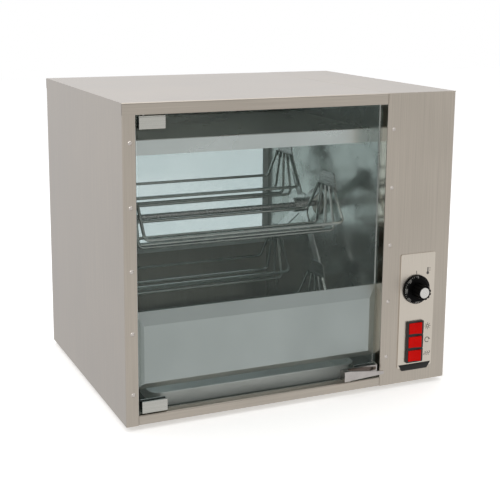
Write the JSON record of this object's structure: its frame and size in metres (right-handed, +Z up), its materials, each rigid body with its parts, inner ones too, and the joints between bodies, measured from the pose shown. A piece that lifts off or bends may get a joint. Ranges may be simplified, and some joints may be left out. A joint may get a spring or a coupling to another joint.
{
  "type": "chicken rotisserie",
  "caption": "Countertop electric chicken rotisserie with a hinged glass door, driven carousel of hanging wire baskets, a drip tray, and a side column with a thermostat knob and rocker switches.",
  "frame": {"origin": "under the middle of the overall box, on the surface that the feet stand on", "axes": "+X runs to the right along the front, the front faces -Y, +Z is up"},
  "size_m": [0.58, 0.5024, 0.508],
  "materials": {
    "casing_steel": "satin brushed sheet",
    "panel_steel": "fine brushed plate",
    "liner_steel": "bright polished sheet",
    "tray_steel": "satin sheet",
    "element_steel": "heat-darkened tube",
    "fitting_steel": "machined",
    "door_glass": "clear, lightly tinted",
    "rear_glass": "clear",
    "hinge_steel": "satin",
    "handle_chrome": "bright plated",
    "cap_metal": "spun disc",
    "rotor_steel": "satin",
    "basket_wire": "plated wire",
    "bush_bronze": "machined bronze",
    "gear_case": "die cast",
    "motor_paint": "satin paint",
    "knob_plastic": "black moulding",
    "switch_plastic": "black moulding",
    "rocker_plastic": "red translucent moulding",
    "thermostat_plastic": "ivory moulding",
    "foot_rubber": "black rubber"
  },
  "bodies": {
    "casing": {"base_pan": "casing_steel", "cable_gland": "switch_plastic", "column_back": "casing_steel", "column_lid": "casing_steel", "control_column": "casing_steel", "control_panel": "panel_steel", "drip_tray": "tray_steel", "drive_motor": "motor_paint", "element_fittings": "fitting_steel", "element_hangers": "tray_steel", "feet": "foot_rubber", "gearbox": "gear_case", "heating_element_front": "element_steel", "heating_element_rear": "element_steel", "hinge_blocks": "fitting_steel", "left_bearing": "bush_bronze", "left_liner": "liner_steel", "left_side_panel": "casing_steel", "motor_standoffs": "fitting_steel", "panel_rivets": "hinge_steel", "partition": "liner_steel", "rear_glass": "rear_glass", "rear_panel": "liner_steel", "rear_window_frame": "liner_steel", "reflector_hood": "liner_steel", "right_bearing": "bush_bronze", "splash_guard": "liner_steel", "switch_housing_bottom": "switch_plastic", "switch_housing_middle": "switch_plastic", "switch_housing_top": "switch_plastic", "terminal_block": "switch_plastic", "thermostat_body": "thermostat_plastic", "top_cover": "casing_steel", "tray_runners": "tray_steel"},
    "door": {"door_glass": "door_glass", "hinge_clamp_top": "hinge_steel", "hinge_clamp_bottom": "hinge_steel", "glass_pads": "foot_rubber", "hinge_pins": "hinge_steel", "door_handle": "handle_chrome"},
    "rotor": {"rotor_shaft": "rotor_steel", "spider_left": "rotor_steel", "spider_right": "rotor_steel", "hub_collars": "rotor_steel", "drive_coupling": "fitting_steel", "output_shaft": "fitting_steel"},
    "knob": {"thermostat_knob": "knob_plastic", "knob_cap": "cap_metal", "thermostat_stem": "fitting_steel"},
    "basket_1": {"basket_1_wires": "basket_wire", "basket_1_hangers": "basket_wire"},
    "basket_2": {"basket_2_wires": "basket_wire", "basket_2_hangers": "basket_wire"},
    "basket_3": {"basket_3_wires": "basket_wire", "basket_3_hangers": "basket_wire"},
    "basket_4": {"basket_4_wires": "basket_wire", "basket_4_hangers": "basket_wire"},
    "rocker_top_body": {"rocker_top": "rocker_plastic"},
    "rocker_middle_body": {"rocker_middle": "rocker_plastic"},
    "rocker_bottom_body": {"rocker_bottom": "rocker_plastic"}
  },
  "joints": [
    {"name": "door_swing", "type": "hinge", "parent": "casing", "child": "door", "pos_m": [-0.256, -0.21675, 0.257], "axis": [0, 0, -1], "range_deg": [0, 110]},
    {"name": "rotor_spin", "type": "hinge", "parent": "casing", "child": "rotor", "pos_m": [-0.059, 0.00725, 0.2845], "axis": [1, 0, 0], "continuous": true},
    {"name": "thermostat_turn", "type": "hinge", "parent": "casing", "child": "knob", "pos_m": [0.2255, -0.22275, 0.173], "axis": [0, 1, 0], "range_deg": [0, 270]},
    {"name": "basket_1_pivot", "type": "hinge", "parent": "rotor", "child": "basket_1", "pos_m": [-0.059, 0.07519, 0.38523], "axis": [1, 0, 0], "continuous": true},
    {"name": "basket_2_pivot", "type": "hinge", "parent": "rotor", "child": "basket_2", "pos_m": [-0.059, -0.09348, 0.35244], "axis": [1, 0, 0], "continuous": true},
    {"name": "basket_3_pivot", "type": "hinge", "parent": "rotor", "child": "basket_3", "pos_m": [-0.059, -0.06069, 0.18377], "axis": [1, 0, 0], "continuous": true},
    {"name": "basket_4_pivot", "type": "hinge", "parent": "rotor", "child": "basket_4", "pos_m": [-0.059, 0.10798, 0.21656], "axis": [1, 0, 0], "continuous": true},
    {"name": "rocker_top_tilt", "type": "hinge", "parent": "casing", "child": "rocker_top_body", "pos_m": [0.2255, -0.22475, 0.1045], "axis": [0, 0, 1], "range_deg": [0, 16]},
    {"name": "rocker_middle_tilt", "type": "hinge", "parent": "casing", "child": "rocker_middle_body", "pos_m": [0.2255, -0.22475, 0.08], "axis": [0, 0, 1], "range_deg": [0, 16]},
    {"name": "rocker_bottom_tilt", "type": "hinge", "parent": "casing", "child": "rocker_bottom_body", "pos_m": [0.2255, -0.22475, 0.0555], "axis": [0, 0, 1], "range_deg": [0, 16]}
  ],
  "couplings": [
    {"joint": "basket_1_pivot", "follows": "rotor_spin", "ratio": -1},
    {"joint": "basket_2_pivot", "follows": "rotor_spin", "ratio": -1},
    {"joint": "basket_3_pivot", "follows": "rotor_spin", "ratio": -1},
    {"joint": "basket_4_pivot", "follows": "rotor_spin", "ratio": -1}
  ]
}
